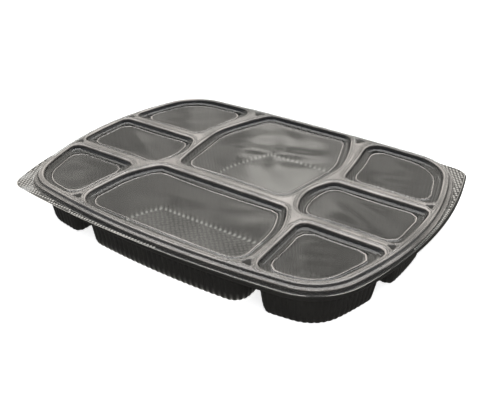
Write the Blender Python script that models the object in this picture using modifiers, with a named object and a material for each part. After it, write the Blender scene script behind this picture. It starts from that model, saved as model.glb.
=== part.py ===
"""Eight-compartment takeaway meal tray with a clear press-on lid.

Both pieces are thermoformed from one sheet each. The black tray is a web with
eight drafted cups hanging from it and a flange round its edge. The clear lid
follows the tray's ridges and sinks a shallow panel into the mouth of every cup.

Sizes are in millimetres and the model is in metres, with +Z up. The origin is
on the table, at the middle of the footprint.
"""

import math

import bmesh
import bpy

MM = 0.001

# Driving dimensions
HEIGHT = 40.0
TRAY_WALL = 0.6
LID_WALL = 0.4
FIT_GAP = 0.3
FLANGE_DROP = 6.5
SKIRT_DEPTH = 2.5
RIM_RIDGE_WIDTH = 3.6
CUP_DRAFT = 5.6
CUP_FLOOR_ROUND = 3.4
PANEL_DEPTH = 3.8
GROOVE_DEPTH = 5.7
PANEL_INSET = 7.6

# Derived levels, from the table up
TRAY_RIDGE = HEIGHT - LID_WALL - FIT_GAP
LID_SEAT = HEIGHT - FLANGE_DROP - LID_WALL
TRAY_FLANGE = LID_SEAT - FIT_GAP
SHEET_GAP = LID_WALL + FIT_GAP

# How finely outlines are cut into straight pieces
CHORD_ERROR = 0.3
CUP_CORNER_STEPS = 3
RIM_CORNER_STEPS = 5
SMALLEST_RADIUS = 5.0

# Plan of the rim. Each corner is x, y, corner radius and the bow of the side
# that runs on from it, going round counter-clockwise. Two opposite corners of
# the flange are pulled out into tabs for peeling the lid off.
RIM_PLAN = [
    (131.0, -99.5, 40.0, 22.7),
    (130.0, 105.8, 40.0, 4.2),
    (-130.0, 105.8, 40.0, 22.7),
    (-131.0, -99.5, 40.0, 12.0),
]
LID_FLANGE_PLAN = [
    (139.0, -107.5, 54.0, 19.0),
    (148.5, 115.0, 14.0, 5.0),
    (-136.5, 116.0, 46.0, 22.2),
    (-144.5, -113.5, 17.0, 10.2),
]
TRAY_FLANGE_PLAN = [
    (138.3, -106.9, 53.0, 18.9),
    (147.7, 114.3, 13.2, 4.9),
    (-135.9, 115.3, 45.0, 24.6),
    (-137.6, -107.4, 50.0, 12.6),
]

# Plan of the cups' mouths on the right, front to back, and the right halves of
# the two big cups in the middle.
RIGHT_CUPS = {
    "front": [
        (83.0, -106.5, 9.0, 0.4),
        (131.0, -99.5, 40.0, 2.0),
        (150.1, -38.2, 7.0, 0.0),
        (79.0, -38.2, 8.0, 0.0),
    ],
    "middle": [
        (71.5, -29.5, 12.0, 0.0),
        (151.3, -29.5, 7.0, 1.6),
        (151.8, 28.0, 7.0, 0.0),
        (71.0, 28.0, 9.0, 10.2),
    ],
    "back": [
        (73.0, 36.5, 7.0, 0.0),
        (151.0, 36.5, 7.0, 2.6),
        (130.0, 105.8, 40.0, 0.3),
        (60.0, 109.0, 12.0, -1.0),
    ],
}
BIG_FRONT_HALF = [
    (77.0, -107.5, 18.0, 0.5),
    (75.2, -58.5, 80.0, 1.3),
    (61.0, -27.4, 8.0, 0.0),
]
BIG_FRONT_BOW = 4.1
BIG_BACK_HALF = [
    (52.5, -17.2, 8.0, 1.7),
    (63.3, 53.5, 60.0, 2.2),
    (42.5, 110.1, 12.0, 0.0),
]


def mirrored(corners):
    """The same outline on the other side of the middle plane."""
    flipped = []
    for index in reversed(range(len(corners))):
        x, y, radius, _ = corners[index]
        bow_of_reversed_side = corners[index - 1][3]
        flipped.append((-x, y, radius, bow_of_reversed_side))
    return flipped


def from_half(half, closing_bow):
    """A symmetric outline from its right half, given front to back."""
    left = []
    for index in reversed(range(len(half))):
        x, y, radius, _ = half[index]
        bow = half[index - 1][3] if index > 0 else closing_bow
        left.append((-x, y, radius, bow))
    return half + left


def cup_plans():
    """Mouth outlines of the eight cups by name."""
    plans = {}
    for place, corners in RIGHT_CUPS.items():
        plans["right_" + place] = corners
        plans["left_" + place] = mirrored(corners)
    plans["big_front"] = from_half(BIG_FRONT_HALF, BIG_FRONT_BOW)
    plans["big_back"] = from_half(BIG_BACK_HALF, 0.0)
    return plans


def turned(direction, angle):
    """A flat direction turned counter-clockwise by an angle."""
    cosine, sine = math.cos(angle), math.sin(angle)
    x, y = direction
    return (x * cosine - y * sine, x * sine + y * cosine)


class Side:
    """One bowed side of an outline, as a shallow parabola on its chord."""

    def __init__(self, start, end, bow):
        self.start = start
        self.end = end
        self.bow = bow
        run = (end[0] - start[0], end[1] - start[1])
        self.length = math.hypot(*run)
        self.along = (run[0] / self.length, run[1] / self.length)
        self.out = (self.along[1], -self.along[0])

    def point(self, share):
        lift = 4.0 * self.bow * share * (1.0 - share)
        x = self.start[0] + (self.end[0] - self.start[0]) * share
        y = self.start[1] + (self.end[1] - self.start[1]) * share
        return (x + self.out[0] * lift, y + self.out[1] * lift)

    def tangent(self, share):
        slope = 4.0 * self.bow * (1.0 - 2.0 * share) / self.length
        return turned(self.along, -math.atan(slope))

    def steps(self):
        return max(1, math.ceil(math.sqrt(abs(self.bow) / CHORD_ERROR)))


def sides_of(corners):
    """The sides of an outline, each starting at the corner of its index."""
    sides = []
    for index, (x, y, _, bow) in enumerate(corners):
        next_corner = corners[(index + 1) % len(corners)]
        sides.append(Side((x, y), (next_corner[0], next_corner[1]), bow))
    return sides


def moved_in(corners, inset):
    """The outline with every side moved inwards and its corners tightened."""
    sides = sides_of(corners)
    moved = []
    for index, (x, y, radius, _) in enumerate(corners):
        before = sides[index - 1].tangent(1.0)
        after = sides[index].tangent(0.0)
        out_x = before[1] + after[1]
        out_y = -before[0] - after[0]
        spread = 1.0 + before[0] * after[0] + before[1] * after[1]
        x -= out_x / spread * inset
        y -= out_y / spread * inset
        moved.append((x, y, max(radius - inset, SMALLEST_RADIUS)))
    result = []
    for index, (x, y, radius) in enumerate(moved):
        next_x, next_y, _ = moved[(index + 1) % len(moved)]
        shrink = math.hypot(next_x - x, next_y - y) / sides[index].length
        result.append((x, y, radius, sides[index].bow * shrink * shrink))
    return result


def corner_arc(start, start_along, end, end_along, steps):
    """Points of a round corner between two tangent directions."""
    cross = start_along[0] * end_along[1] - start_along[1] * end_along[0]
    dot = start_along[0] * end_along[0] + start_along[1] * end_along[1]
    turn = math.atan2(cross, dot)
    chord = math.hypot(end[0] - start[0], end[1] - start[1])
    radius = chord / (2.0 * math.sin(turn / 2.0))
    handle = 4.0 / 3.0 * math.tan(turn / 4.0) * radius
    points = []
    for step in range(steps + 1):
        share = step / steps
        rest = 1.0 - share
        weights = (rest ** 3, 3 * rest * rest * share, 3 * rest * share * share, share ** 3)
        point = []
        for axis in (0, 1):
            first = start[axis] + start_along[axis] * handle
            second = end[axis] - end_along[axis] * handle
            values = (start[axis], first, second, end[axis])
            point.append(sum(weight * value for weight, value in zip(weights, values)))
        points.append(tuple(point))
    return points


def outline(corners, inset, corner_steps, side_steps):
    """A closed loop of plan points, moved inwards by the inset."""
    shape = moved_in(corners, inset)
    sides = sides_of(shape)
    cuts = []
    for index, (_, _, radius, _) in enumerate(shape):
        before = sides[index - 1]
        after = sides[index]
        in_along = before.tangent(1.0)
        out_along = after.tangent(0.0)
        dot = in_along[0] * out_along[0] + in_along[1] * out_along[1]
        turn = math.acos(max(-1.0, min(1.0, dot)))
        cuts.append(min(radius * math.tan(turn / 2.0), 0.46 * before.length, 0.46 * after.length))
    points = []
    for index, side in enumerate(sides):
        before = sides[index - 1]
        entry = 1.0 - cuts[index] / before.length
        leave = cuts[index] / side.length
        points += corner_arc(
            before.point(entry), before.tangent(entry),
            side.point(leave), side.tangent(leave), corner_steps)
        finish = 1.0 - cuts[(index + 1) % len(sides)] / side.length
        for step in range(1, side_steps[index]):
            points.append(side.point(leave + (finish - leave) * step / side_steps[index]))
    return points


def add_loop(mesh, points, height):
    """Vertices of a plan outline at a height."""
    return [mesh.verts.new((x * MM, y * MM, height * MM)) for x, y in points]


def bridge(mesh, outer, inner):
    """A band of faces between two loops, seen from above or from inside."""
    count = len(outer)
    for index in range(count):
        after = (index + 1) % count
        mesh.faces.new((outer[index], outer[after], inner[after], inner[index]))


def loft(mesh, loops):
    """Bands through a row of loops, the outermost loop first."""
    for outer, inner in zip(loops, loops[1:]):
        bridge(mesh, outer, inner)


def rim_loops(mesh, flange_plan, flange_levels, profile):
    """Loops of the rim: the flange on its own plan, then steps up to the web."""
    side_steps = [side.steps() for side in sides_of(RIM_PLAN)]
    loops = []
    for inset, height in flange_levels:
        points = outline(flange_plan, inset, RIM_CORNER_STEPS, side_steps)
        loops.append(add_loop(mesh, points, height))
    for offset, height in profile:
        points = outline(RIM_PLAN, -offset, RIM_CORNER_STEPS, side_steps)
        loops.append(add_loop(mesh, points, height))
    return loops


def cup_loops(mesh, corners, profile):
    """Loops of one cup or one lid panel, from its mouth inwards."""
    side_steps = [side.steps() for side in sides_of(corners)]
    loops = []
    for inset, height in profile:
        points = outline(corners, inset, CUP_CORNER_STEPS, side_steps)
        loops.append(add_loop(mesh, points, height))
    return loops


def fill_web(mesh, loops):
    """The flat web between the rim and the mouths of the cups."""
    mesh.edges.ensure_lookup_table()
    edges = []
    for loop in loops:
        for index, vertex in enumerate(loop):
            edges.append(mesh.edges.get((vertex, loop[index - 1])))
    filled = bmesh.ops.triangle_fill(mesh, use_beauty=True, edges=edges, normal=(0.0, 0.0, 1.0))
    for item in filled["geom"]:
        if isinstance(item, bmesh.types.BMFace) and item.normal.z < 0.0:
            item.normal_flip()


def formed_sheet(name, rim, cup_profile):
    """One thermoformed sheet: a rim, a web and eight cups, still without thickness."""
    mesh = bmesh.new()
    loops = rim_loops(mesh, *rim)
    loft(mesh, loops)
    web_edges = [loops[-1]]
    for corners in cup_plans().values():
        cup = cup_loops(mesh, corners, cup_profile)
        loft(mesh, cup)
        mesh.faces.new(cup[-1])
        web_edges.append(cup[0])
    fill_web(mesh, web_edges)
    mesh.normal_update()
    data = bpy.data.meshes.new(name)
    mesh.to_mesh(data)
    mesh.free()
    return data


def finished_sheet(name, data, thickness, material, collection, parent, height):
    """Gives a formed sheet its thickness, finish and place."""
    data.shade_smooth()
    data.set_sharp_from_angle(angle=math.radians(35.0))
    data.materials.append(material)
    sheet = bpy.data.objects.new(name, data)
    collection.objects.link(sheet)
    sheet.parent = parent
    sheet.location = (0.0, 0.0, height * MM)
    wall = sheet.modifiers.new("wall", "SOLIDIFY")
    wall.thickness = thickness * MM
    wall.offset = -1.0
    wall.use_even_offset = True
    return sheet


def black_polypropylene():
    """Dark food-grade plastic with a soft gloss."""
    material = bpy.data.materials.new("black_polypropylene")
    material.use_nodes = True
    shader = material.node_tree.nodes["Principled BSDF"]
    shader.inputs["Base Color"].default_value = (0.008, 0.008, 0.009, 1.0)
    shader.inputs["Roughness"].default_value = 0.35
    shader.inputs["Metallic"].default_value = 0.0
    return material


def clear_lid_sheet():
    """Clear thermoforming sheet with a glossy face."""
    material = bpy.data.materials.new("clear_lid_sheet")
    material.use_nodes = True
    shader = material.node_tree.nodes["Principled BSDF"]
    shader.inputs["Base Color"].default_value = (0.9, 0.9, 0.88, 1.0)
    shader.inputs["Roughness"].default_value = 0.12
    shader.inputs["Metallic"].default_value = 0.0
    shader.inputs["Transmission Weight"].default_value = 1.0
    return material


def make_tray(collection, parent):
    """The black tray: skirt, flange, rim wall, web and eight deep cups."""
    flange_levels = [
        (0.0, TRAY_FLANGE - SKIRT_DEPTH),
        (0.4, TRAY_FLANGE),
    ]
    rim_profile = [
        (RIM_RIDGE_WIDTH + 2.4, TRAY_FLANGE + 0.1),
        (RIM_RIDGE_WIDTH + 0.2, TRAY_RIDGE - 3.1),
        (RIM_RIDGE_WIDTH - SHEET_GAP, TRAY_RIDGE),
    ]
    floor_top = TRAY_WALL
    mouth = -SHEET_GAP
    cup_profile = [
        (mouth, TRAY_RIDGE),
        (mouth + 0.6, TRAY_RIDGE - 0.9),
        (mouth + CUP_DRAFT, floor_top + CUP_FLOOR_ROUND),
        (mouth + CUP_DRAFT + 1.2, floor_top + 0.9),
        (mouth + CUP_DRAFT + CUP_FLOOR_ROUND, floor_top),
    ]
    rim = (TRAY_FLANGE_PLAN, flange_levels, rim_profile)
    data = formed_sheet("tray", rim, cup_profile)
    finished_sheet("tray", data, TRAY_WALL, black_polypropylene(), collection, parent, 0.0)


def make_lid(collection, parent):
    """The clear lid: flange, stepped rim, ridges and eight sunken panels."""
    ridge = HEIGHT - LID_SEAT
    flange_top = LID_WALL
    flange_levels = [(0.0, flange_top)]
    rim_profile = [
        (RIM_RIDGE_WIDTH + 3.5, flange_top + 0.1),
        (RIM_RIDGE_WIDTH + 2.7, ridge - 3.1),
        (RIM_RIDGE_WIDTH + 1.4, ridge - 2.8),
        (RIM_RIDGE_WIDTH + 0.6, ridge - 0.6),
        (RIM_RIDGE_WIDTH, ridge),
    ]
    cup_profile = [
        (0.0, ridge),
        (0.6, ridge - 0.8),
        (2.4, ridge - GROOVE_DEPTH),
        (5.4, ridge - GROOVE_DEPTH),
        (PANEL_INSET, ridge - PANEL_DEPTH),
    ]
    rim = (LID_FLANGE_PLAN, flange_levels, rim_profile)
    data = formed_sheet("lid", rim, cup_profile)
    finished_sheet("lid", data, LID_WALL, clear_lid_sheet(), collection, parent, LID_SEAT)


def main():
    for item in list(bpy.data.objects):
        bpy.data.objects.remove(item, do_unlink=True)
    collection = bpy.data.collections.new("meal_tray")
    bpy.context.scene.collection.children.link(collection)
    origin = bpy.data.objects.new("meal_tray", None)
    collection.objects.link(origin)
    make_tray(collection, origin)
    make_lid(collection, origin)


main()
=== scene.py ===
# %% [markdown]
# # A takeaway tray with eight cups and a clear lid
#
# The object is a packed-meal tray in two sheets. A black sheet has been drawn
# down into eight fluted cups, and a clear sheet of the same outline snaps over
# its rim. Both come out of a mould as one skin, so both are made here the way
# the mould makes them: closed outlines in plan, stacked at different heights
# and joined into a skin, which then gets its thickness.
#
# The first step loads the plain solids, which say where everything is and how
# far it may reach.

# %% Load the solids that fix the size
import math

import bpy
import numpy as np
from mathutils import Matrix, Vector
from mathutils.geometry import delaunay_2d_cdt


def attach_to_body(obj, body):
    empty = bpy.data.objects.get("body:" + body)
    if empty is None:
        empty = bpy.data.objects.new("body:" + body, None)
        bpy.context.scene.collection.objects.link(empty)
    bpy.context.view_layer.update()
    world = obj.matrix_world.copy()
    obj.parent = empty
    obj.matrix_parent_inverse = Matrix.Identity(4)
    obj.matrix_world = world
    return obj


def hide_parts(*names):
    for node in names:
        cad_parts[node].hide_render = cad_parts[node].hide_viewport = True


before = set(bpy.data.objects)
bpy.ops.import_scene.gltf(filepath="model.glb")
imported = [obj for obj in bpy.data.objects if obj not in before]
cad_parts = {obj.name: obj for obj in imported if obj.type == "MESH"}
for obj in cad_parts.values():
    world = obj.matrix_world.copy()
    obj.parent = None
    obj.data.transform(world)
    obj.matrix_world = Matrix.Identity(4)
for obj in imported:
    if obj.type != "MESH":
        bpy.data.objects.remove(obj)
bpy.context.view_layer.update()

MM = 0.001

# %% [markdown]
# ## Outlines in plan
#
# Every cup mouth is a polygon with round corners and gently bowed sides. One
# corner is written as x, y, radius and the bow of the side that follows, in
# millimetres. The right-hand cups are given and the left-hand ones mirror them,
# as on the real tray. Straight polygons with a bevel would be quicker, but the
# bowed sides are what makes this tray look moulded and not cut from boxes.

# %% Plans of the rim, the flanges and the cups
RIM = [
    (131.0, -99.5, 40.0, 22.7), (130.0, 105.8, 40.0, 4.2),
    (-130.0, 105.8, 40.0, 22.7), (-131.0, -99.5, 40.0, 12.0),
]
LID_FLANGE = [
    (139.0, -107.5, 54.0, 19.0), (148.5, 115.0, 14.0, 5.0),
    (-136.5, 116.0, 46.0, 22.2), (-144.5, -113.5, 17.0, 10.2),
]
TRAY_FLANGE = [
    (138.3, -106.9, 53.0, 18.9), (147.7, 114.3, 13.2, 4.9),
    (-135.9, 115.3, 45.0, 24.6), (-137.6, -107.4, 50.0, 12.6),
]
RIGHT_CUPS = {
    "front": [
        (83.0, -106.5, 9.0, 0.4), (131.0, -99.5, 40.0, 2.0),
        (150.1, -38.2, 7.0, 0.0), (79.0, -38.2, 8.0, 0.0),
    ],
    "middle": [
        (71.5, -29.5, 12.0, 0.0), (151.3, -29.5, 7.0, 1.6),
        (151.8, 28.0, 7.0, 0.0), (71.0, 28.0, 9.0, 10.2),
    ],
    "back": [
        (73.0, 36.5, 7.0, 0.0), (151.0, 36.5, 7.0, 2.6),
        (130.0, 105.8, 40.0, 0.3), (60.0, 109.0, 12.0, -1.0),
    ],
}
BIG_HALVES = {
    "big_front": [(77.0, -107.5, 18.0, 0.5), (75.2, -58.5, 80.0, 1.3), (61.0, -27.4, 8.0, 0.0)],
    "big_back": [(52.5, -17.2, 8.0, 1.7), (63.3, 53.5, 60.0, 2.2), (42.5, 110.1, 12.0, 0.0)],
}
FRONT_BOW = {"big_front": 4.1, "big_back": 0.0}


def mirrored(corners):
    """The same outline on the other side of the middle."""
    turned_round = range(len(corners) - 1, -1, -1)
    return [(-corners[i][0], corners[i][1], corners[i][2], corners[i - 1][3]) for i in turned_round]


def whole_cup(half, front_bow):
    """A big cup from its right half; its front side closes the outline."""
    left = mirrored(half)
    left[-1] = (*left[-1][:3], front_bow)
    return half + left


CUPS = {}
for place, corners in RIGHT_CUPS.items():
    CUPS["right_" + place] = corners
    CUPS["left_" + place] = mirrored(corners)
for name, half in BIG_HALVES.items():
    CUPS[name] = whole_cup(half, FRONT_BOW[name])
print(len(CUPS), "cups:", ", ".join(CUPS))

# %% [markdown]
# A row of the skin is such an outline moved in or out by some distance. Moving
# the sides and rounding the corners again keeps the same number of points in
# every row, so point 12 of one row always stands above point 12 of the next
# and the skin needs no guessing.

# %% Outlines moved in or out
CORNER_STEPS = 14
SIDE_STEPS = 22
LEAST_RADIUS = 5.0


def sides_of(corners):
    """Start, run and bow of every side, counter-clockwise."""
    starts = [np.array(corner[:2], float) for corner in corners]
    ends = starts[1:] + starts[:1]
    return [(start, end - start, corner[3]) for start, end, corner in zip(starts, ends, corners)]


def on_side(side, share):
    """A point of a bowed side and the direction of travel there."""
    start, run, bow = side
    length = np.hypot(*run)
    out = np.array((run[1], -run[0])) / length
    point = start + run * share + out * 4.0 * bow * share * (1.0 - share)
    along = run / length + out * 4.0 * bow * (1.0 - 2.0 * share) / length
    return point, along / np.hypot(*along)


def moved_in(corners, inset, least_radius, slack):
    """The corners of the outline after every side has moved inwards and gone slack."""
    sides = sides_of(corners)
    places, radii = [], []
    for index, (x, y, radius, _) in enumerate(corners):
        before = on_side(sides[index - 1], 1.0)[1]
        after = on_side(sides[index], 0.0)[1]
        out = np.array((before[1] + after[1], -before[0] - after[0]))
        places.append(np.array((x, y)) - out * inset / (1.0 + before @ after))
        radii.append(max(radius - inset, least_radius))
    result = []
    for index, (place, radius) in enumerate(zip(places, radii)):
        run = places[(index + 1) % len(places)] - place
        shrink = np.hypot(*run) / np.hypot(*sides[index][1])
        sag = slack * min(1.0, np.hypot(*run) / 90.0)
        result.append((*place, radius, sides[index][2] * shrink ** 2 - sag))
    return result


def round_corner(start, start_along, end, end_along):
    """A Bezier arc that leaves and arrives along the two sides."""
    cross = start_along[0] * end_along[1] - start_along[1] * end_along[0]
    turn = math.atan2(cross, start_along @ end_along)
    handle = np.hypot(*(end - start)) / (2.0 * math.sin(turn / 2.0)) * 4.0 / 3.0 * math.tan(turn / 4.0)
    share = np.linspace(0.0, 1.0, CORNER_STEPS + 1)[:, None]
    rest = 1.0 - share
    arc = rest ** 3 * start + 3.0 * rest ** 2 * share * (start + start_along * handle)
    return arc + 3.0 * rest * share ** 2 * (end - end_along * handle) + share ** 3 * end


def outline(corners, inset, least_radius=LEAST_RADIUS, slack=0.0):
    """The whole outline as a closed row of plan points."""
    shape = moved_in(corners, inset, least_radius, slack)
    sides = sides_of(shape)
    cuts = []
    for index, (_, _, radius, _) in enumerate(shape):
        arriving = on_side(sides[index - 1], 1.0)[1]
        leaving = on_side(sides[index], 0.0)[1]
        turn = math.acos(max(-1.0, min(1.0, arriving @ leaving)))
        room = 0.46 * min(np.hypot(*sides[index - 1][1]), np.hypot(*sides[index][1]))
        cuts.append(min(radius * math.tan(turn / 2.0), room))
    rows = []
    for index, side in enumerate(sides):
        length = np.hypot(*side[1])
        before_length = np.hypot(*sides[index - 1][1])
        entry = on_side(sides[index - 1], 1.0 - cuts[index] / before_length)
        leave = cuts[index] / length
        finish = 1.0 - cuts[(index + 1) % len(sides)] / length
        rows.append(round_corner(*entry, *on_side(side, leave)))
        shares = np.linspace(leave, finish, SIDE_STEPS + 1)[1:-1]
        rows.append(np.array([on_side(side, share)[0] for share in shares]))
    return np.vstack(rows)


print("one outline has", len(outline(RIM, 0.0)), "points before it is spaced out evenly")

# %% [markdown]
# The points of an outline crowd in its corners. The flutes of the tray have to
# be equally wide all the way round, so the columns of the skin are spaced by
# the length walked along one reference row, and the same places are then used
# on every other row.

# %% Evenly spaced columns
def walked(line):
    """Length walked along a closed line at each of its points, and once round."""
    steps = np.hypot(*(np.roll(line, -1, axis=0) - line).T)
    return np.concatenate([[0.0], np.cumsum(steps)])


def columns_at(line, lengths):
    """Where given lengths lie on a line, as a point's index and the share to the next."""
    marks = walked(line)
    index = np.clip(np.searchsorted(marks, lengths, side="right") - 1, 0, len(line) - 1)
    return index, (lengths - marks[index]) / (marks[index + 1] - marks[index])


def taken(line, columns):
    """The points of a line at the columns."""
    index, share = columns
    after = line[(index + 1) % len(line)]
    return line[index] * (1.0 - share)[:, None] + after * share[:, None]


rim_length = walked(outline(RIM, 0.0))[-1]
print("the rim measures", round(rim_length), "mm round")

# %% [markdown]
# ## A skin from rows
#
# The helper below collects rows of points and joins neighbouring rows with
# faces. Each point also carries a few named numbers, such as how hazy the clear
# sheet is there, because a material can read them later and follow the form
# exactly. The web between the cups is filled last, with a Delaunay net round
# all the holes, because it has no rows of its own.

# %% Distances and insides of outlines in plan
# rows of a lattice of equal triangles stand this share of the pitch apart
LATTICE_ROW = 0.866
# a lattice reaches past the lid on every side
LATTICE_HALF_X = 170.0
LATTICE_HALF_Y = 130.0


def inside(line, points):
    """Which points lie inside a closed outline, by counting crossings."""
    x, y = points.T
    hit = np.zeros(len(points), bool)
    for (x1, y1), (x2, y2) in zip(line, np.roll(line, -1, axis=0)):
        if y1 != y2:
            hit ^= ((y1 > y) != (y2 > y)) & (x < (x2 - x1) * (y - y1) / (y2 - y1) + x1)
    return hit


def distance(line, points):
    """Distance from each point to the nearest place on a closed outline."""
    nearest = np.full(len(points), np.inf)
    for start, end in zip(line, np.roll(line, -1, axis=0)):
        run = end - start
        share = np.clip((points - start) @ run / (run @ run), 0.0, 1.0)
        nearest = np.minimum(nearest, np.hypot(*(points - start - share[:, None] * run).T))
    return nearest


def slanted_lattice(pitch):
    """Places of a lattice whose rows are shifted by half a pitch."""
    across = int(LATTICE_HALF_X / pitch) + 1
    along = int(LATTICE_HALF_Y / (pitch * LATTICE_ROW)) + 1
    return np.array([
        ((i + 0.5 * (j % 2)) * pitch, j * pitch * LATTICE_ROW)
        for i in range(-across, across + 1) for j in range(-along, along + 1)])


print("plan helpers ready")

# %% The skin helper
class Skin:
    """Rows of points joined into one open sheet, seen from above."""

    def __init__(self, *names):
        self.points = []
        self.faces = []
        self.values = {name: [] for name in names}
        self.holes = []
        self.edge = []

    def row(self, plan, height, **values):
        """Adds one row of points with their numbers, and says which points they are."""
        start = len(self.points)
        heights = np.broadcast_to(height, len(plan))
        self.points += [(x, y, z) for (x, y), z in zip(plan.tolist(), heights.tolist())]
        for name, store in self.values.items():
            store += np.broadcast_to(values.get(name, 0.0), len(plan)).tolist()
        return list(range(start, start + len(plan)))

    def join(self, outer, inner):
        """A closed band of faces between two rows."""
        after = outer[1:] + outer[:1]
        inner_after = inner[1:] + inner[:1]
        self.faces += list(zip(outer, after, inner_after, inner))

    def cap(self, ring, height, **values):
        """Closes a ring with a fan of triangles round one middle point."""
        middle = np.mean([self.points[i][:2] for i in ring], axis=0)
        centre = self.row(middle[None, :], height, **values)[0]
        self.faces += [(i, j, centre) for i, j in zip(ring, ring[1:] + ring[:1])]

    def plan(self, ring):
        return np.array([self.points[i][:2] for i in ring])

    def free_places(self, pitch):
        """A lattice of places on the web, clear of its edge and its holes."""
        places = slanted_lattice(pitch)
        room = 0.6 * pitch
        edge = self.plan(self.edge)
        places = places[inside(edge, places) & (distance(edge, places) > room)]
        for hole in self.holes:
            line = self.plan(hole)
            places = places[~inside(line, places) & (distance(line, places) > room)]
        return places

    def fill_web(self, inner=()):
        """Fills between the edge ring and the holes, through inner points of the web if given."""
        rings = [self.edge] + self.holes
        plans = [self.plan(ring) for ring in rings]
        rings.append(list(inner))
        corners = [index for ring in rings for index in ring]
        fences, start = [], 0
        for plan in plans:
            turn = list(range(start, start + len(plan)))
            fences += list(zip(turn, turn[1:] + turn[:1]))
            start += len(plan)
        flat = [Vector(self.points[index][:2]) for index in corners]
        found = delaunay_2d_cdt(flat, fences, [], 0, 1e-6)
        assert len(found[0]) == len(flat), "two rings cross"
        corner_of = [corners[origin[0]] for origin in found[3]]
        faces = np.array([[corner_of[index] for index in face] for face in found[2]])
        middles = np.array(self.points)[faces][:, :, :2].mean(axis=1)
        kept = inside(plans[0], middles)
        for plan in plans[1:]:
            kept &= ~inside(plan, middles)
        self.faces += [tuple(face) for face in faces[kept].tolist()]

    def mesh(self, name):
        data = bpy.data.meshes.new(name)
        data.from_pydata([tuple(v * MM for v in point) for point in self.points], [], self.faces)
        for key, store in self.values.items():
            data.attributes.new(key, "FLOAT", "POINT").data.foreach_set("value", store)
        data.shade_smooth()
        return data


print("skin helper ready")

# %% [markdown]
# ## The black tray
#
# The tray is black polypropylene. Its cup walls are fluted: shallow upright
# waves about five millimetres apart, which stiffen a wall that is only 0.6 mm
# thick. They run out in the rounding at the floor, where each one ends in a
# small round toe. The light that the toes catch through the lid is a painted
# glint, a pale colour on each toe.
#
# The rows below run from the web down one cup. The last two numbers say how
# strong the flutes are at that row and how strong the painted glint on their
# toes is.

# %% Levels of the tray
HEIGHT = 40.0
TRAY_WALL = 0.6
LID_WALL = 0.4
REFERENCE_INSET = 3.0
FLUTE_PITCH = 4.9
FLUTE_DEPTH = 0.4
POINTS_PER_FLUTE = 6

# inset from the mouth's plan, height, strength of the flutes, painted glint on their toes
TRAY_CUP_ROWS = [
    (-1.2, 39.15, 0.0, 0.0), (-0.9, 39.05, 0.0, 0.0), (-0.5, 38.7, 0.0, 0.0), (-0.15, 38.0, 0.0, 0.0),
    (0.15, 36.6, 0.0, 0.0), (0.45, 34.6, 1.0, 0.0), (4.3, 8.0, 1.0, 0.0), (4.9, 4.0, 1.0, 0.1),
    (5.3, 2.5, 1.0, 0.35), (5.9, 1.5, 0.9, 1.0), (6.8, 0.9, 0.65, 0.8), (7.9, 0.65, 0.3, 0.0),
    (9.0, 0.6, 0.0, 0.0),
]
FLOOR_SHARES = (0.75, 0.45)
# strength of the painted glint on the toes and of the painted sheen on the floor dots, in these cups and in
# the others
GLINT_AND_SHEEN = {"big_front": 1.0, "big_back": 0.7, "right_back": 0.6, "left_back": 0.3}
GLINT_AND_SHEEN_ELSEWHERE = 0.1
# the floor is stippled below this height, at least this strongly, and its dots carry a painted sheen of the
# same strength
STIPPLED_BELOW = 1.2
LEAST_STIPPLE = 0.35


def tray_cup(skin, corners, glint_and_sheen):
    """One deep cup, from the web down to the middle of its floor."""
    reference = outline(corners, REFERENCE_INSET)
    lap = walked(reference)[-1]
    flutes = round(lap / FLUTE_PITCH)
    lengths = np.arange(flutes * POINTS_PER_FLUTE) * lap / (flutes * POINTS_PER_FLUTE)
    columns = columns_at(reference, lengths)
    # painted glint, strongest on the crest of each flute, for its pale toe
    glint_on_crests = glint_and_sheen * (0.5 + 0.5 * np.cos(2.0 * math.pi * flutes * lengths / lap)) ** 1.5
    # the stipple dots carry a painted sheen as strong as the toes' painted glint
    stippled = max(LEAST_STIPPLE, glint_and_sheen)
    above = None
    for inset, height, strength, glint_share in TRAY_CUP_ROWS:
        plan = taken(outline(corners, inset), columns)
        ring = skin.row(plan, height, walk=lengths, lap=lap, flute=strength,
                        floor=stippled * (height < STIPPLED_BELOW), toe=glint_on_crests * glint_share)
        if above is None:
            skin.holes.append(ring)
        else:
            skin.join(above, ring)
        above = ring
    middle = plan.mean(axis=0)
    for share in FLOOR_SHARES:
        ring = skin.row(middle + (plan - middle) * share, height, floor=stippled)
        skin.join(above, ring)
        above = ring
    skin.cap(above, height, floor=stippled)
    return flutes


tray_skin = Skin("walk", "lap", "flute", "floor", "toe")
flute_counts = {
    name: tray_cup(tray_skin, corners, GLINT_AND_SHEEN.get(name, GLINT_AND_SHEEN_ELSEWHERE)) for name, corners in CUPS.items()}
print("flutes on each cup:", flute_counts)

# %% [markdown]
# The rim of the tray steps down from the web to a narrow shelf that carries the
# lid, and the sheet turns down at its very edge as a short skirt. The skirt is
# the thin black line that shows under the clear flange all round.

# %% Rim, shelf and skirt of the tray
RIM_SPACING = 2.0
rim_reference = outline(RIM, -4.0)
rim_lap = walked(rim_reference)[-1]
rim_columns = columns_at(rim_reference, np.arange(0.0, rim_lap - 1.0, RIM_SPACING))

# inset from the flange's plan and height, before the whole skirt is flared
SKIRT_ROWS = [(-0.1, 29.6), (-0.25, 31.2), (-0.35, 32.2), (-0.15, 32.65), (0.3, 32.8)]
SKIRT_FLARE = 0.2
# outset from the rim's plan and height
TRAY_RIM_ROWS = [
    (6.4, 32.85), (6.0, 33.1), (4.2, 36.0), (3.4, 38.0), (3.1, 38.7), (2.7, 39.05), (2.3, 39.15),
]


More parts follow.
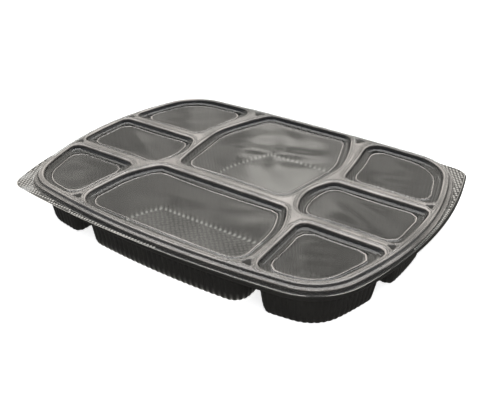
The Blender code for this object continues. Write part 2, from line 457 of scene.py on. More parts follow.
def tray_rim(skin):
    """The skirt, the shelf and the wall up to the web."""
    below = None
    for inset, height in SKIRT_ROWS:
        plan = taken(outline(TRAY_FLANGE, inset - SKIRT_FLARE), rim_columns)
        ring = skin.row(plan, height)
        if below is not None:
            skin.join(below, ring)
        below = ring
    for outset, height in TRAY_RIM_ROWS:
        ring = skin.row(taken(outline(RIM, -outset), rim_columns), height)
        skin.join(below, ring)
        below = ring
    skin.edge = below


tray_rim(tray_skin)
tray_skin.fill_web()
tray_data = tray_skin.mesh("tray_skin")
print("tray skin:", len(tray_data.polygons), "faces before the flutes and the wall")

# %% [markdown]
# The flutes follow a rule, so Geometry Nodes press them in. The tree reads how
# far round the cup each point stands, rounds the number of flutes so that the
# last meets the first, and lifts the skin inwards along its own normal. They
# only ever go inwards, so the outside keeps the size of the plain solid.

# %% Helpers for node trees
def add(tree, kind, inputs=None, **settings):
    """One node: its settings, and each input as a value or as a socket to link."""
    node = tree.nodes.new(kind)
    for name, value in settings.items():
        setattr(node, name, value)
    for name, value in (inputs or {}).items():
        if isinstance(value, bpy.types.NodeSocket):
            tree.links.new(value, node.inputs[name])
        else:
            node.inputs[name].default_value = value
    return node


def maths(tree, operation, *values):
    """The result of one sum on numbers or sockets."""
    node = add(tree, "ShaderNodeMath", dict(enumerate(values)), operation=operation)
    return node.outputs[0]


def new_tree(name, sizes):
    """A Geometry Nodes tree with a geometry in and out and named sizes."""
    tree = bpy.data.node_groups.new(name, "GeometryNodeTree")
    tree.interface.new_socket("Geometry", in_out="INPUT", socket_type="NodeSocketGeometry")
    tree.interface.new_socket("Geometry", in_out="OUTPUT", socket_type="NodeSocketGeometry")
    for label, kind in sizes.items():
        tree.interface.new_socket(label, in_out="INPUT", socket_type=kind)
    return tree, tree.nodes.new("NodeGroupInput"), tree.nodes.new("NodeGroupOutput")


def attach(piece, tree, sizes):
    """The tree as a modifier, with its sizes set by each socket's identifier."""
    modifier = piece.modifiers.new(tree.name, "NODES")
    modifier.node_group = tree
    for item in tree.interface.items_tree:
        if item.in_out == "INPUT" and item.name in sizes:
            modifier[item.identifier] = sizes[item.name]


def settled(piece):
    """The piece with all its modifiers turned into plain mesh."""
    bpy.context.view_layer.update()
    seen = piece.evaluated_get(bpy.context.evaluated_depsgraph_get())
    data = bpy.data.meshes.new_from_object(seen)
    piece.modifiers.clear()
    piece.data = data
    return piece


print("node helpers ready")

# %% The flutes as a tree
def flute_tree():
    tree, given, result = new_tree("press_flutes", {
        "Pitch": "NodeSocketFloat", "Depth": "NodeSocketFloat", "Plastic": "NodeSocketMaterial",
    })
    walk, lap, strength = (
        add(tree, "GeometryNodeInputNamedAttribute", {"Name": name}, data_type="FLOAT").outputs["Attribute"]
        for name in ("walk", "lap", "flute")
    )
    length = maths(tree, "MAXIMUM", lap, 1.0)
    count = maths(tree, "ROUND", maths(tree, "DIVIDE", length, given.outputs["Pitch"]))
    turns = maths(tree, "MULTIPLY", maths(tree, "DIVIDE", walk, length), count)
    wave = maths(tree, "COSINE", maths(tree, "MULTIPLY", turns, 2.0 * math.pi))
    # squared, so that narrow ribs stand between broad flat valleys
    lift = maths(tree, "POWER", maths(tree, "MULTIPLY_ADD", wave, 0.5, 0.5), 2.0)
    lift = maths(tree, "MULTIPLY", maths(tree, "MULTIPLY", lift, strength), given.outputs["Depth"])
    normal = add(tree, "GeometryNodeInputNormal").outputs["Normal"]
    offset = add(tree, "ShaderNodeVectorMath", {0: normal, "Scale": lift}, operation="SCALE")
    moved = add(tree, "GeometryNodeSetPosition", {
        "Geometry": given.outputs["Geometry"], "Offset": offset.outputs["Vector"]})
    real = add(tree, "GeometryNodeRealizeInstances", {"Geometry": moved.outputs["Geometry"]})
    finished = add(tree, "GeometryNodeSetMaterial", {
        "Geometry": real.outputs["Geometry"], "Material": given.outputs["Plastic"]})
    tree.links.new(finished.outputs["Geometry"], result.inputs["Geometry"])
    return tree


press_flutes = flute_tree()
print("tree", press_flutes.name, "has", len(press_flutes.nodes), "nodes")

# %% [markdown]
# ## Colours and the black plastic
#
# Colours are written as the hex values a picture shows, and one function turns
# them into the linear light that a shader mixes.
#
# Black polypropylene is coloured through, with a soft gloss from the mould. The
# eye sees almost no colour, only a broad weak sheen, finer where the sheet was
# stretched thin down the walls, and a fine grain on the cup floors. The glints on
# the toes of the flutes and the sheen on the floor dots are painted in as pale
# colour.

# %% Black polypropylene, thermoformed
def linear(hex_colour):
    """An sRGB hex colour as linear red, green, blue and alpha."""
    parts = [int(hex_colour[i:i + 2], 16) / 255.0 for i in (1, 3, 5)]
    return (*(p / 12.92 if p <= 0.04045 else ((p + 0.055) / 1.055) ** 2.4 for p in parts), 1.0)


def new_material(name):
    material = bpy.data.materials.new(name)
    material.use_nodes = True
    tree = material.node_tree
    tree.nodes.clear()
    return material, tree, tree.nodes.new("ShaderNodeOutputMaterial")


def per_mm(size):
    """Scale of a noise whose features measure this many millimetres."""
    return 1.0 / (size * MM)


def black_polypropylene():
    material, tree, output = new_material("black_polypropylene_thermoformed")
    place = add(tree, "ShaderNodeTexCoord").outputs["Object"]
    floor = add(tree, "ShaderNodeAttribute", attribute_name="floor").outputs["Fac"]
    # slow drift of the gloss where the sheet was drawn unevenly, over about 25 mm
    drift = add(tree, "ShaderNodeTexNoise", {"Vector": place, "Scale": per_mm(25.0), "Detail": 3.0})
    # mould grain: really about 0.3 mm, drawn at 1.1 mm so that it shows
    grain = add(tree, "ShaderNodeTexNoise", {"Vector": place, "Scale": per_mm(1.1), "Detail": 1.0})
    toe = add(tree, "ShaderNodeAttribute", attribute_name="toe").outputs["Fac"]
    colour = add(tree, "ShaderNodeMix", {
        0: drift.outputs["Fac"], 6: linear("#191817"), 7: linear("#23221f")}, data_type="RGBA")
    # the floors are stippled, with dots about 3.5 mm apart, and the dots are painted pale as a painted
    # sheen of the light from above
    slanted = add(tree, "ShaderNodeMapping", {"Vector": place, "Rotation": (0.0, 0.0, math.pi / 4.0)})
    dots = add(tree, "ShaderNodeTexVoronoi", {
        "Vector": slanted.outputs["Vector"], "Scale": per_mm(3.5), "Randomness": 0.25})
    dot = add(tree, "ShaderNodeMapRange", {
        "Value": dots.outputs["Distance"], "From Min": 0.5, "From Max": 0.15, "To Min": 0.2, "To Max": 1.0})
    stipple_and_sheen = add(tree, "ShaderNodeMix", {
        0: maths(tree, "MULTIPLY", dot.outputs["Result"], floor),
        6: colour.outputs[2], 7: linear("#65625d")}, data_type="RGBA")
    # painted glint: the toes of the flutes are painted pale where they catch the light
    painted_glint = add(tree, "ShaderNodeMix", {
        0: toe, 6: stipple_and_sheen.outputs[2], 7: linear("#b6b4ac")}, data_type="RGBA")
    rough = maths(tree, "MULTIPLY_ADD", drift.outputs["Fac"], 0.14, 0.3)
    rough = maths(tree, "MULTIPLY_ADD", floor, 0.2, rough)
    relief = maths(tree, "MULTIPLY_ADD", floor, 0.15, 0.04)
    bump = add(tree, "ShaderNodeBump", {
        "Height": grain.outputs["Fac"], "Strength": relief, "Distance": 0.25 * MM})
    plastic = add(tree, "ShaderNodeBsdfPrincipled", {
        "Base Color": painted_glint.outputs[2], "Roughness": rough, "IOR": 1.49,
        "Specular IOR Level": 0.28, "Normal": bump.outputs["Normal"]})
    tree.links.new(plastic.outputs["BSDF"], output.inputs["Surface"])
    return material


black_plastic = black_polypropylene()
print("material", black_plastic.name)

# %% Press the flutes and give the tray its wall
def with_wall(piece, thickness):
    """Thickness is added below the skin, as the mould side is the upper one."""
    wall = piece.modifiers.new("wall", "SOLIDIFY")
    wall.thickness = thickness * MM
    wall.offset = -1.0
    return piece


tray = bpy.data.objects.new("black_tray", tray_data)
bpy.context.scene.collection.objects.link(tray)
tray_data.materials.append(black_plastic)
attach(tray, press_flutes, {
    "Pitch": FLUTE_PITCH, "Depth": FLUTE_DEPTH * MM, "Plastic": black_plastic})
settled(with_wall(tray, TRAY_WALL))
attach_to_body(tray, "root")
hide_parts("tray")
tray_points = np.array([v.co for v in tray.data.vertices])
print("tray:", sum(len(p.vertices) - 2 for p in tray.data.polygons), "triangles, from",
      (tray_points.min(0) / MM).round(2), "to", (tray_points.max(0) / MM).round(2), "mm")

# %% [markdown]
# ## The clear lid
#
# The lid is one clear sheet drawn over the same plan. It rides up over every
# ridge between the cups, drops into a narrow groove just inside each mouth and
# rises again to a flat panel with a fine bead round it. The bead and the ridge
# edges draw thin bright lines by their shape, and these lines are also painted
# in as raised haze, a painted highlight; the drawn, slightly scuffed ridges look
# hazy and the flat panels stay clear.
#
# The rows run from the ridge into one mouth. The last number is the haze, which on the bead rows is a
# painted highlight.

# %% Levels of the lid
LID_SEAT = 33.1
FLANGE_TOP = LID_SEAT + LID_WALL
LEAST_PANEL_RADIUS = 9.0
PANEL_SLACK = 2.4
PANEL_HAZE = 0.03
# inset where the groove begins to turn into the panel, and over what width
PANEL_FROM = 2.3
PANEL_BLEND = 2.6

# inset from the mouth's plan, drop below the ridge, haze (a painted highlight on the bead)
LID_CUP_ROWS = [
    (-0.9, 0.3, 0.9), (-0.4, 0.5, 0.95), (0.0, 0.7, 1.0), (0.25, 0.95, 0.8), (0.42, 1.4, 0.3),
    (0.55, 2.1, 0.05), (0.8, 2.8, 0.02), (1.2, 3.4, 0.02), (1.7, 3.9, 0.02), (2.3, 4.3, 0.02),
    (2.9, 4.55, 0.02), (3.6, 4.7, 0.02), (4.3, 4.72, 0.02), (4.8, 4.62, 0.02), (5.2, 4.45, 0.04),
    (5.65, 4.22, 0.15), (5.85, 4.08, 0.8), (6.15, 3.98, 1.1), (6.45, 4.02, 0.8), (6.7, 4.18, 0.15),
    (7.0, 4.27, 0.03), (7.7, 4.31, 0.03), (9.2, 4.33, 0.03), (11.0, 4.35, 0.03),
]
PANEL_SHARES = (0.9, 0.78, 0.65, 0.52, 0.4, 0.27, 0.13)
LID_CUP_SPACING = 3.4
# height of a panel's waves
WAVES = {"big_back": 0.6, "big_front": 0.2}
SMALL_CUP_WAVES = 0.2
# width of a small cup's groove against a big one's, past the first millimetre
SMALL_CUP_GROOVE = 0.92


def ripple(plan, strength):
    """The soft waves of a thin panel that cooled unevenly."""
    x, y = plan.T
    across = np.sin(x / 9.0 + 1.7 * np.sin(y / 17.0) + 0.7)
    along = np.sin(y / 8.0 + 1.1 * np.sin(x / 21.0) + 0.6)
    return strength * (across * along)


def lid_cup(skin, corners, waves, tight):
    """One sunken panel, from the ridge to its middle; tight narrows its groove."""
    reference = outline(corners, REFERENCE_INSET)
    lap = walked(reference)[-1]
    count = round(lap / LID_CUP_SPACING)
    columns = columns_at(reference, np.arange(count) * lap / count)
    above = None
    for inset, drop, haze in LID_CUP_ROWS:
        on_panel = min(1.0, max(0.0, (inset - PANEL_FROM) / PANEL_BLEND))
        on_panel *= on_panel * (3.0 - 2.0 * on_panel)
        least = LEAST_RADIUS + (LEAST_PANEL_RADIUS - LEAST_RADIUS) * on_panel
        narrowed = inset if inset < 1.0 else 1.0 + (inset - 1.0) * tight
        plan = taken(outline(corners, narrowed, least, PANEL_SLACK * on_panel), columns)
        ring = skin.row(plan, HEIGHT - drop, haze=haze, across=-inset)
        if above is None:
            skin.holes.append(ring)
        else:
            skin.join(above, ring)
        above = ring
    middle = plan.mean(axis=0)
    for share in PANEL_SHARES:
        inner = middle + (plan - middle) * share
        waved = HEIGHT - drop + ripple(inner, waves * (1.0 - share ** 2))
        ring = skin.row(inner, waved, haze=PANEL_HAZE)
        skin.join(above, ring)
        above = ring
    skin.cap(above, HEIGHT - drop + float(ripple(middle[None, :], waves)[0]), haze=PANEL_HAZE)


lid_skin = Skin("haze", "across", "knurl")
for name, corners in CUPS.items():
    big = name in WAVES
    lid_cup(lid_skin, corners, WAVES[name] if big else SMALL_CUP_WAVES, 1.0 if big else SMALL_CUP_GROOVE)
print("lid panels:", len(lid_skin.faces), "faces")

# %% [markdown]
# Round the outside the lid steps down twice, which is what makes it snap over
# the tray, and ends in a flat flange. At the front left and the back right the
# flange runs out into a tab for the fingers.

# %% Stepped rim and flange of the lid
def knurl_strength(points):
    """How strongly the flange is knurled: full at the tabs, fading along two sides."""
    x, y = points.T
    left = np.clip((20.0 - x) / 60.0, 0.0, 1.0) * (y < -60.0)
    right = np.clip((y + 30.0) / 60.0, 0.0, 1.0) * (x > 110.0)
    return np.maximum(left, right)


# outset from the rim's plan, drop below the ridge, haze (the narrow peak at the step's edge is a painted
# highlight)
LID_RIM_ROWS = [
    (7.9, 6.5, 0.1), (7.55, 6.1, 0.05), (7.3, 4.9, 0.02), (7.05, 3.3, 0.05), (6.85, 2.8, 0.8),
    (6.5, 2.6, 0.4), (5.7, 2.45, 0.3), (4.95, 2.3, 0.2), (4.65, 2.0, 0.1), (4.3, 1.3, 0.02),
    (4.0, 0.85, 0.1), (3.6, 0.5, 0.65), (3.0, 0.4, 0.6), (2.6, 0.3, 0.6),
]
FLANGE_SHARES = (0.0, 0.08, 0.3, 0.6, 0.9)
# outset where the crown of the ridges begins
RIDGE_FROM = 3.5
EDGE_INSET = 0.15
# the edge lies up to 1.2 times this much further in at the back right
EDGE_SHORTER = 1.3
# width of the painted highlight along the cut edge
CUT_HIGHLIGHT_WIDTH = 0.9


def lid_edge(inset):
    """The edge of the flange moved in, and further at the back right, where the skirt shows black."""
    edge, short = (taken(outline(LID_FLANGE, i), rim_columns) for i in (inset, inset + EDGE_SHORTER))
    x, y = edge[:, :1], edge[:, 1:]
    to_right = np.clip((x - 105.0) / 40.0, 0.0, 1.0)
    to_back = np.clip((y + 60.0) / 110.0, 0.0, 1.2)
    return edge + (short - edge) * to_right * to_back


def lid_rim(skin):
    """The flange from its edge inwards, then both steps up to the ridge."""
    edge = lid_edge(EDGE_INSET)
    foot = taken(outline(RIM, -LID_RIM_ROWS[0][0]), rim_columns)
    below = None
    width = np.hypot(*(foot - edge).T)
    for share in FLANGE_SHARES:
        plan = edge + (foot - edge) * share
        knurled = knurl_strength(plan)
        # a painted highlight line along the cut edge
        cut_highlight = np.clip(1.0 - share * width / CUT_HIGHLIGHT_WIDTH, 0.0, 1.0)
        haze = 0.06 + 1.6 * np.maximum(cut_highlight, knurled)
        # painted shade: the knurled flange between the points is painted dark
        ring = skin.row(plan, FLANGE_TOP, haze=haze, knurl=1.0 - 0.8 * knurled * (1.0 - cut_highlight))
        if below is not None:
            skin.join(below, ring)
        below = ring
    for outset, drop, haze in LID_RIM_ROWS:
        plan = taken(outline(RIM, -outset), rim_columns)
        ring = skin.row(plan, HEIGHT - drop, haze=haze, across=RIDGE_FROM - outset)
        skin.join(below, ring)
        below = ring
    skin.edge = below


lid_rim(lid_skin)
print("lid rim:", len(LID_RIM_ROWS), "rows inside the flange")

# %% [markdown]
# Where a ridge meets the rim the real sheet has a small three-cornered dimple
# that stiffens the joint. There are eight, four on each side of the middle.
#
# The ridges are not flat either: they are crowned, and have fallen by 0.7 mm
# where they reach a mouth or the rim.

# %% The crown of the ridges
CROWN_DROP = 0.7
CROWN_WIDTH = 2.6
# the skin's own edges lie this far in from where the crown begins
FIRST_REACH = 0.9
ridge_edges = [lid_skin.plan(ring) for ring in [lid_skin.edge] + lid_skin.holes]


def crown(points):
    """Height of the rounded ridge, and how far in from its edge each point lies."""
    reach = np.min([distance(line, points) for line in ridge_edges], axis=0) + FIRST_REACH
    return HEIGHT - CROWN_DROP * (1.0 - np.clip(reach / CROWN_WIDTH, 0.0, 1.0)) ** 2, reach


print("crowned to", CROWN_DROP, "mm over", CROWN_WIDTH, "mm")

# %% Dimples where ridges meet the rim
# x, y, size, and the direction that its point looks in, in degrees
DIMPLES = [
    (78.6, -104.3, 5.2, 90.0), (148.7, -33.9, 4.5, 180.0),
    (148.9, 32.3, 4.5, 180.0), (53.5, 104.8, 6.4, 270.0),
]
# share of the size, drop below the ridge, haze
DIMPLE_ROWS = [(1.0, 0.0, 0.9), (0.94, 0.0, 0.9), (0.8, 0.4, 0.5), (0.6, 1.9, 0.02), (0.3, 2.3, 0.02)]
DIMPLE_POINTS = 24


def dimple(skin, x, y, size, look):
    """A round-cornered triangle sunk into the web."""
    around = np.linspace(0.0, 2.0 * math.pi, DIMPLE_POINTS, endpoint=False)
    angle = around + math.radians(look)
    above = None
    for share, drop, haze in DIMPLE_ROWS:
        radius = size * share * (0.78 + 0.22 * np.cos(3.0 * around))
        plan = np.stack([x + radius * np.cos(angle), y + radius * np.sin(angle)], axis=1)
        top, reach = crown(plan)
        ring = skin.row(plan, top - drop, haze=haze, across=reach)
        if above is None:
            skin.holes.append(ring)
        else:
            skin.join(above, ring)
        above = ring
    skin.cap(above, HEIGHT - drop, haze=haze)


for x, y, size, look in DIMPLES:
    dimple(lid_skin, x, y, size, look)
    dimple(lid_skin, -x, y, size, 180.0 - look)
print(2 * len(DIMPLES), "dimples")

# %% Fill the crowned web
WEB_PITCH = 1.5
places = lid_skin.free_places(WEB_PITCH)
top, reach = crown(places)
lid_skin.fill_web(lid_skin.row(places, top, haze=0.9, across=reach))

lid_data = lid_skin.mesh("lid_skin")
print("lid skin:", len(lid_data.polygons), "faces before the wall")

# %% [markdown]
# The film is clear polyester. Seen straight on it hides almost nothing, and it
# mirrors more and more towards a glancing view, so a Fresnel node mixes a clear
# and a glossy shader. The light is not bent in a film this thin, so only the
# side where it enters may mirror: the far side would otherwise reflect it all
# back. Where the sheet is drawn or scuffed it scatters light, so the haze number
# of each point mixes in a pale, slightly rougher skin. Along the bead, the cut
# edge and the edges of the ridges, that number and a ramp of lines also paint in
# thin highlight lines and dark shade lines.

# %% Clear polyester film, thermoformed
# the drawing streaks and the painted highlight and shade lines along the ridges are laid out on a ramp that
# is five millimetres long
RAMP_PER_MM = 0.2
# distance in from the ridge's edge, and how white the film is there: drawing streaks, with a painted
# highlight line at the edge and painted shade lines between
EDGE_STREAKS_AND_LIGHT = ((0.6, 1.0), (1.1, 0.25), (1.6, 0.4), (2.0, 0.9), (2.5, 0.2), (3.5, 0.75))


def clear_polyester():
    material, tree, output = new_material("clear_polyester_film")
    place = add(tree, "ShaderNodeTexCoord").outputs["Object"]
    haze = add(tree, "ShaderNodeAttribute", attribute_name="haze").outputs["Fac"]
    # faint unevenness of the drawn film, over about 6 mm and 30 mm
    fine = add(tree, "ShaderNodeTexNoise", {"Vector": place, "Scale": per_mm(6.0), "Detail": 3.0})
    slow = add(tree, "ShaderNodeTexNoise", {"Vector": place, "Scale": per_mm(30.0), "Detail": 1.0})
    # drawing streaks run along each ridge, together with painted highlight and shade lines along its
    # rounded edges
    across = add(tree, "ShaderNodeAttribute", attribute_name="across").outputs["Fac"]
    wavering = maths(tree, "MULTIPLY_ADD", fine.outputs["Fac"], 0.5, maths(tree, "SUBTRACT", across, 0.25))
    streaks_and_edge_light = add(tree, "ShaderNodeValToRGB", {"Fac": maths(tree, "MULTIPLY", wavering, RAMP_PER_MM)})
    steps = streaks_and_edge_light.color_ramp.elements
    steps[0].color = (1.0, 1.0, 1.0, 1.0)
    steps[1].color = (0.9, 0.9, 0.9, 1.0)
    for reach, level in EDGE_STREAKS_AND_LIGHT:
        steps.new(reach * RAMP_PER_MM).color = (level, level, level, 1.0)
    uneven = maths(tree, "MULTIPLY_ADD", fine.outputs["Fac"], 0.02, slow.outputs["Fac"])
    uneven = maths(tree, "MULTIPLY_ADD", streaks_and_edge_light.outputs["Color"], 0.6, uneven)
    bump = add(tree, "ShaderNodeBump", {"Height": uneven, "Strength": 0.12, "Distance": 1.0 * MM})
    entering = maths(tree, "SUBTRACT", 1.0, add(tree, "ShaderNodeNewGeometry").outputs["Backfacing"])
    # polyester has 1.57; the higher number stands for the film's two sides together
    mirror = add(tree, "ShaderNodeFresnel", {"IOR": 1.75, "Normal": bump.outputs["Normal"]})
    mirrored_share = maths(tree, "MULTIPLY", mirror.outputs["Fac"], entering)
    clear = add(tree, "ShaderNodeBsdfTransparent", {"Color": linear("#fbfcfc")})
    gloss = add(tree, "ShaderNodeBsdfAnisotropic", {
        "Color": linear("#ffffff"), "Roughness": 0.08, "Normal": bump.outputs["Normal"]})
    film = add(tree, "ShaderNodeMixShader", {
        0: mirrored_share, 1: clear.outputs["BSDF"], 2: gloss.outputs["BSDF"]})
    knurl = add(tree, "ShaderNodeAttribute", attribute_name="knurl").outputs["Fac"]
    # the scuffed film's own pale colour, with painted shade at the foot of the knurl points and between
    # them, and a painted highlight towards their tips
    scuff_colour_and_knurl_light = add(tree, "ShaderNodeValToRGB", {"Fac": knurl})
    scuff_colour_and_knurl_light.color_ramp.elements[0].color = linear("#c4bdb7")
    scuff_colour_and_knurl_light.color_ramp.elements[1].color = linear("#d6d2ca")
    scuff_colour_and_knurl_light.color_ramp.elements.new(0.2).color = linear("#1c1b1a")
    scuff_colour_and_knurl_light.color_ramp.elements.new(0.42).color = linear("#a8a49d")
    scuffed = add(tree, "ShaderNodeBsdfPrincipled", {
        "Base Color": scuff_colour_and_knurl_light.outputs["Color"], "Roughness": 0.12, "IOR": 1.7,
        "Normal": bump.outputs["Normal"]})
    amount = maths(tree, "MULTIPLY", haze, maths(tree, "MULTIPLY_ADD", fine.outputs["Fac"], 0.3, 0.45))
    amount = maths(tree, "MULTIPLY", amount, streaks_and_edge_light.outputs["Color"])
    # the drawn sheet is clearer in some stretches than in others
    amount = maths(tree, "MULTIPLY", amount, maths(tree, "MULTIPLY", slow.outputs["Fac"], 2.0))
    amount = maths(tree, "MULTIPLY", amount, entering)
    # the sheet is clearer along the back edge, except at the tab
    corner = add(tree, "ShaderNodeSeparateXYZ", {"Vector": place})
    back = add(tree, "ShaderNodeMapRange", {
        "Value": corner.outputs["Y"], "From Min": 99.0 * MM, "From Max": 106.0 * MM,
        "To Min": 1.0, "To Max": 0.3})
    tab = add(tree, "ShaderNodeMapRange", {
        "Value": corner.outputs["X"], "From Min": 105.0 * MM, "From Max": 130.0 * MM})
    amount = maths(tree, "MULTIPLY", amount, maths(tree, "MAXIMUM", back.outputs[0], tab.outputs[0]))
    surface = add(tree, "ShaderNodeMixShader", {
        0: amount, 1: film.outputs["Shader"], 2: scuffed.outputs["BSDF"]})
    tree.links.new(surface.outputs["Shader"], output.inputs["Surface"])
    return material


clear_film = clear_polyester()
print("material", clear_film.name)

# %% Give the lid its wall
lid = bpy.data.objects.new("clear_lid", lid_data)
bpy.context.scene.collection.objects.link(lid)
lid_data.materials.append(clear_film)
# the bead is too fine to be offset by the whole 0.4 mm
settled(with_wall(lid, 0.5 * LID_WALL))
print("lid:", sum(len(p.vertices) - 2 for p in lid.data.polygons), "triangles")

# %% [markdown]
# ## Knurling
#
# The tabs and the stretches of flange next to them are pressed with small
# diamonds for grip. Each is a low four-sided point. There are about two hundred
# in all, so Geometry Nodes set one and the same point on every place of a
# slanted lattice. The script only works out which places lie on the flange.

# %% Places of the knurls
KNURL_PITCH = 2.8
KNURL_HEIGHT = 0.6
# share of the pitch that a point fills, and how deep it stands in the flange
KNURL_FILL = 0.96
KNURL_SINK = 0.02
# the places lie between this inset from the edge and this outset from the rim
KNURL_INSET = 1.5
KNURL_OUTSET = 8.7
LEAST_KNURL = 0.15

lattice = slanted_lattice(KNURL_PITCH)
edge_line = lid_edge(KNURL_INSET)
on_flange = inside(edge_line, lattice) & ~inside(outline(RIM, -KNURL_OUTSET), lattice)
knurl_places = lattice[on_flange]
# a single row where the flange is too narrow for the lattice
along = np.arange(0.0, walked(edge_line)[-1] - 1.0, KNURL_PITCH)
single = taken(edge_line, columns_at(edge_line, along))
gap = np.hypot(*(single[:, None] - knurl_places[None]).transpose(2, 0, 1)).min(axis=1)
knurl_places = np.vstack([knurl_places, single[gap > 0.85 * KNURL_PITCH]])
knurl_sizes = knurl_strength(knurl_places)
strong = knurl_sizes > LEAST_KNURL
knurl_places, knurl_sizes = knurl_places[strong], knurl_sizes[strong]
print(len(knurl_places), "knurls")

# %% Knurls as a tree
def knurl_tree():
    tree, given, result = new_tree("set_knurls", {
        "Width": "NodeSocketFloat", "Height": "NodeSocketFloat", "Film": "NodeSocketMaterial",
    })
    size = add(tree, "GeometryNodeInputNamedAttribute", {"Name": "size"}, data_type="FLOAT")
    point = add(tree, "GeometryNodeMeshCone", {
        "Vertices": 4, "Radius Top": 0.0, "Radius Bottom": given.outputs["Width"],
        "Depth": given.outputs["Height"]})
    up = add(tree, "ShaderNodeSeparateXYZ", {
        "Vector": add(tree, "GeometryNodeInputPosition").outputs["Position"]}).outputs["Z"]
    height = maths(tree, "DIVIDE", up, given.outputs["Height"])
    marked = point.outputs["Mesh"]
    # the points are painted dark at their foot and light at their tip, as painted shade and highlight
    for name, value in (("haze", 1.8), ("knurl", maths(tree, "MULTIPLY_ADD", height, 0.8, 0.2))):
        marked = add(tree, "GeometryNodeStoreNamedAttribute", {
            "Geometry": marked, "Name": name, "Value": value},
            data_type="FLOAT", domain="POINT").outputs["Geometry"]
    scale = add(tree, "ShaderNodeCombineXYZ", {"X": 1.0, "Y": 1.0, "Z": size.outputs["Attribute"]})
    placed = add(tree, "GeometryNodeInstanceOnPoints", {
        "Points": given.outputs["Geometry"], "Instance": marked,
        "Scale": scale.outputs["Vector"]})
    real = add(tree, "GeometryNodeRealizeInstances", {"Geometry": placed.outputs["Instances"]})
    finished = add(tree, "GeometryNodeSetMaterial", {
        "Geometry": real.outputs["Geometry"], "Material": given.outputs["Film"]})
    tree.links.new(finished.outputs["Geometry"], result.inputs["Geometry"])
    return tree


set_knurls = knurl_tree()
knurl_data = bpy.data.meshes.new("knurl_places")
level = FLANGE_TOP - KNURL_SINK
knurl_data.from_pydata([(x * MM, y * MM, level * MM) for x, y in knurl_places], [], [])
knurl_data.attributes.new("size", "FLOAT", "POINT").data.foreach_set("value", knurl_sizes)
knurls = bpy.data.objects.new("knurls", knurl_data)
bpy.context.scene.collection.objects.link(knurls)
attach(knurls, set_knurls, {
    "Width": 0.5 * KNURL_PITCH * KNURL_FILL * MM, "Height": KNURL_HEIGHT * MM, "Film": clear_film})
settled(knurls)
print("knurling:", len(knurls.data.polygons), "faces")

# %% Join the knurls to the lid
def join_to(first, second):
    """Adds the second piece's mesh to the first, which keeps its name."""
    with bpy.context.temp_override(
            active_object=first, object=first, selected_objects=[first, second],
            selected_editable_objects=[first, second]):
        bpy.ops.object.join()


join_to(lid, knurls)
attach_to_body(lid, "root")
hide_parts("lid")
lid_points = np.array([v.co for v in lid.data.vertices])
print("lid from", (lid_points.min(0) / MM).round(2), "to", (lid_points.max(0) / MM).round(2), "mm")

# %% [markdown]
# ## The studio
#
# The photograph shows the tray on white, under a broad soft light that is
# brighter behind the tray than on the viewer's side. Glossy black plastic shows
# little but what it mirrors, so that difference is most of the picture: level
# faces mirror the bright far side and steep ones the dim near side.

# %% Floor
FLOOR_REACH = 4.0


def light_table():
    material, tree, output = new_material("white_acrylic_light_table")
    place = add(tree, "ShaderNodeTexCoord").outputs["Object"]
    fibre = add(tree, "ShaderNodeTexNoise", {"Vector": place, "Scale": per_mm(8.0), "Detail": 4.0})
    colour = add(tree, "ShaderNodeMix", {
        0: fibre.outputs["Fac"], 6: linear("#f4f4f3"), 7: linear("#f6f6f6")}, data_type="RGBA")
    board = add(tree, "ShaderNodeBsdfPrincipled", {
        "Base Color": colour.outputs[2], "Roughness": 0.8, "Specular IOR Level": 0.1,
        "Emission Color": linear("#ffffff"), "Emission Strength": 0.7})
    tree.links.new(board.outputs["BSDF"], output.inputs["Surface"])
    return material


floor_data = bpy.data.meshes.new("floor")
floor_data.from_pydata(
    [(x * FLOOR_REACH, y * FLOOR_REACH, 0.0) for x, y in ((-1, -1), (1, -1), (1, 1), (-1, 1))],
    [], [(0, 1, 2, 3)])
floor_data.materials.append(light_table())
floor = bpy.data.objects.new("floor", floor_data)
bpy.context.scene.collection.objects.link(floor)
# the black walls in the photo mirror no white, so the table stays out of what they mirror
floor.visible_glossy = False
print("floor", 2 * FLOOR_REACH, "m wide")

# %% Light
# the camera's own directions, which the room is laid out by
VIEW_BACK = Vector((0.4936, -0.7150, 0.4952))
VIEW_RIGHT = Vector((0.8230, 0.5681, 0.0))
VIEW_UP = Vector((-0.2813, 0.4075, 0.8688))


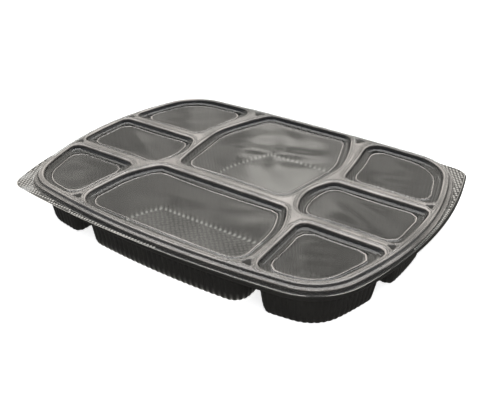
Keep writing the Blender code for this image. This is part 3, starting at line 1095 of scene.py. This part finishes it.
def studio_world():
    """White far side, dim near side, with a soft change between them."""
    world = bpy.data.worlds.new("studio")
    world.use_nodes = True
    tree = world.node_tree
    tree.nodes.clear()
    output = tree.nodes.new("ShaderNodeOutputWorld")
    direction = add(tree, "ShaderNodeTexCoord").outputs["Generated"]
    away = Vector((-VIEW_BACK.x, -VIEW_BACK.y, 0.0)).normalized()
    side = add(tree, "ShaderNodeVectorMath", {0: direction, 1: away}, operation="DOT_PRODUCT")
    share = add(tree, "ShaderNodeMapRange", {
        "Value": side.outputs["Value"], "From Min": -0.5, "From Max": 0.55,
        "To Min": 0.12, "To Max": 0.78}, interpolation_type="SMOOTHSTEP")
    # uneven cloth on the far side, which the panels show as soft patches
    cloth = add(tree, "ShaderNodeTexNoise", {"Vector": direction, "Scale": 16.0, "Detail": 1.0})
    folds = add(tree, "ShaderNodeMapRange", {
        "Value": cloth.outputs["Fac"], "From Min": 0.4, "From Max": 0.6, "To Min": 0.85, "To Max": 1.5})
    tint = add(tree, "ShaderNodeMix", {
        0: share.outputs["Result"], 6: linear("#c0cee8"), 7: linear("#fff9ea")}, data_type="RGBA")
    # a brighter pane that the back panels mirror
    pane = add(tree, "ShaderNodeVectorMath", {
        0: direction, 1: Vector((-0.46, 0.75, 0.47)).normalized()}, operation="DOT_PRODUCT")
    shine = add(tree, "ShaderNodeMapRange", {
        "Value": pane.outputs["Value"], "From Min": 0.996, "From Max": 0.9996,
        "To Min": 0.0, "To Max": 1.2}, interpolation_type="SMOOTHSTEP")
    strength = maths(
        tree, "MULTIPLY_ADD", share.outputs["Result"], folds.outputs["Result"], shine.outputs["Result"])
    # near the table's edge and below it the room is dark
    height = add(tree, "ShaderNodeSeparateXYZ", {"Vector": direction}).outputs["Z"]
    room = add(tree, "ShaderNodeMapRange", {
        "Value": height, "From Min": 0.0, "From Max": 0.2, "To Min": 0.12, "To Max": 1.0})
    strength = maths(tree, "MULTIPLY", strength, room.outputs["Result"])
    glow = add(tree, "ShaderNodeBackground", {"Color": tint.outputs[2], "Strength": strength})
    tree.links.new(glow.outputs["Background"], output.inputs["Surface"])
    bpy.context.scene.world = world


def softbox(name, place, target, size, power):
    """A broad square lamp that looks at a point."""
    data = bpy.data.lights.new(name, "AREA")
    data.shape = "SQUARE"
    data.size = size
    data.energy = power
    lamp = bpy.data.objects.new(name, data)
    bpy.context.scene.collection.objects.link(lamp)
    lamp.location = place
    lamp.rotation_euler = (Vector(target) - Vector(place)).to_track_quat("-Z", "Y").to_euler()
    return lamp


studio_world()
softbox("overhead_softbox", (-0.2, 0.3, 2.2), (0.0, 0.0, 0.0), 3.0, 42.0)
# the fill lights the board and dull faces, and stays out of what glossy faces mirror
fill = softbox("fill_softbox", (0.9, -1.3, 1.3), (0.0, 0.0, 0.0), 2.0, 34.0)
fill.visible_glossy = False
print("studio lit")

# %% Camera
FOCAL_LENGTH_PX = 718.921
PICTURE_WIDTH_PX = 500.0
SENSOR_WIDTH = 36.0
# the eye lies this far back, right and down from a point on the lid's top
POINT_ON_LID = Vector((0.0, 1.5, 40.0))
EYE_BACK, EYE_RIGHT, EYE_DOWN = 583.988, 6.224, 24.936

camera_data = bpy.data.cameras.new("camera")
camera_data.sensor_width = SENSOR_WIDTH
camera_data.lens = SENSOR_WIDTH * FOCAL_LENGTH_PX / PICTURE_WIDTH_PX
camera_data.clip_start = 0.01
camera_data.clip_end = 20.0
camera = bpy.data.objects.new("camera", camera_data)
bpy.context.scene.collection.objects.link(camera)
eye = POINT_ON_LID + VIEW_BACK * EYE_BACK + VIEW_RIGHT * EYE_RIGHT - VIEW_UP * EYE_DOWN
turn = Matrix((VIEW_RIGHT, VIEW_UP, VIEW_BACK)).transposed().to_4x4()
camera.matrix_world = Matrix.Translation(eye * MM) @ turn
bpy.context.scene.camera = camera
bpy.context.scene.view_settings.view_transform = "Standard"
print("camera at", [round(value, 4) for value in camera.location])
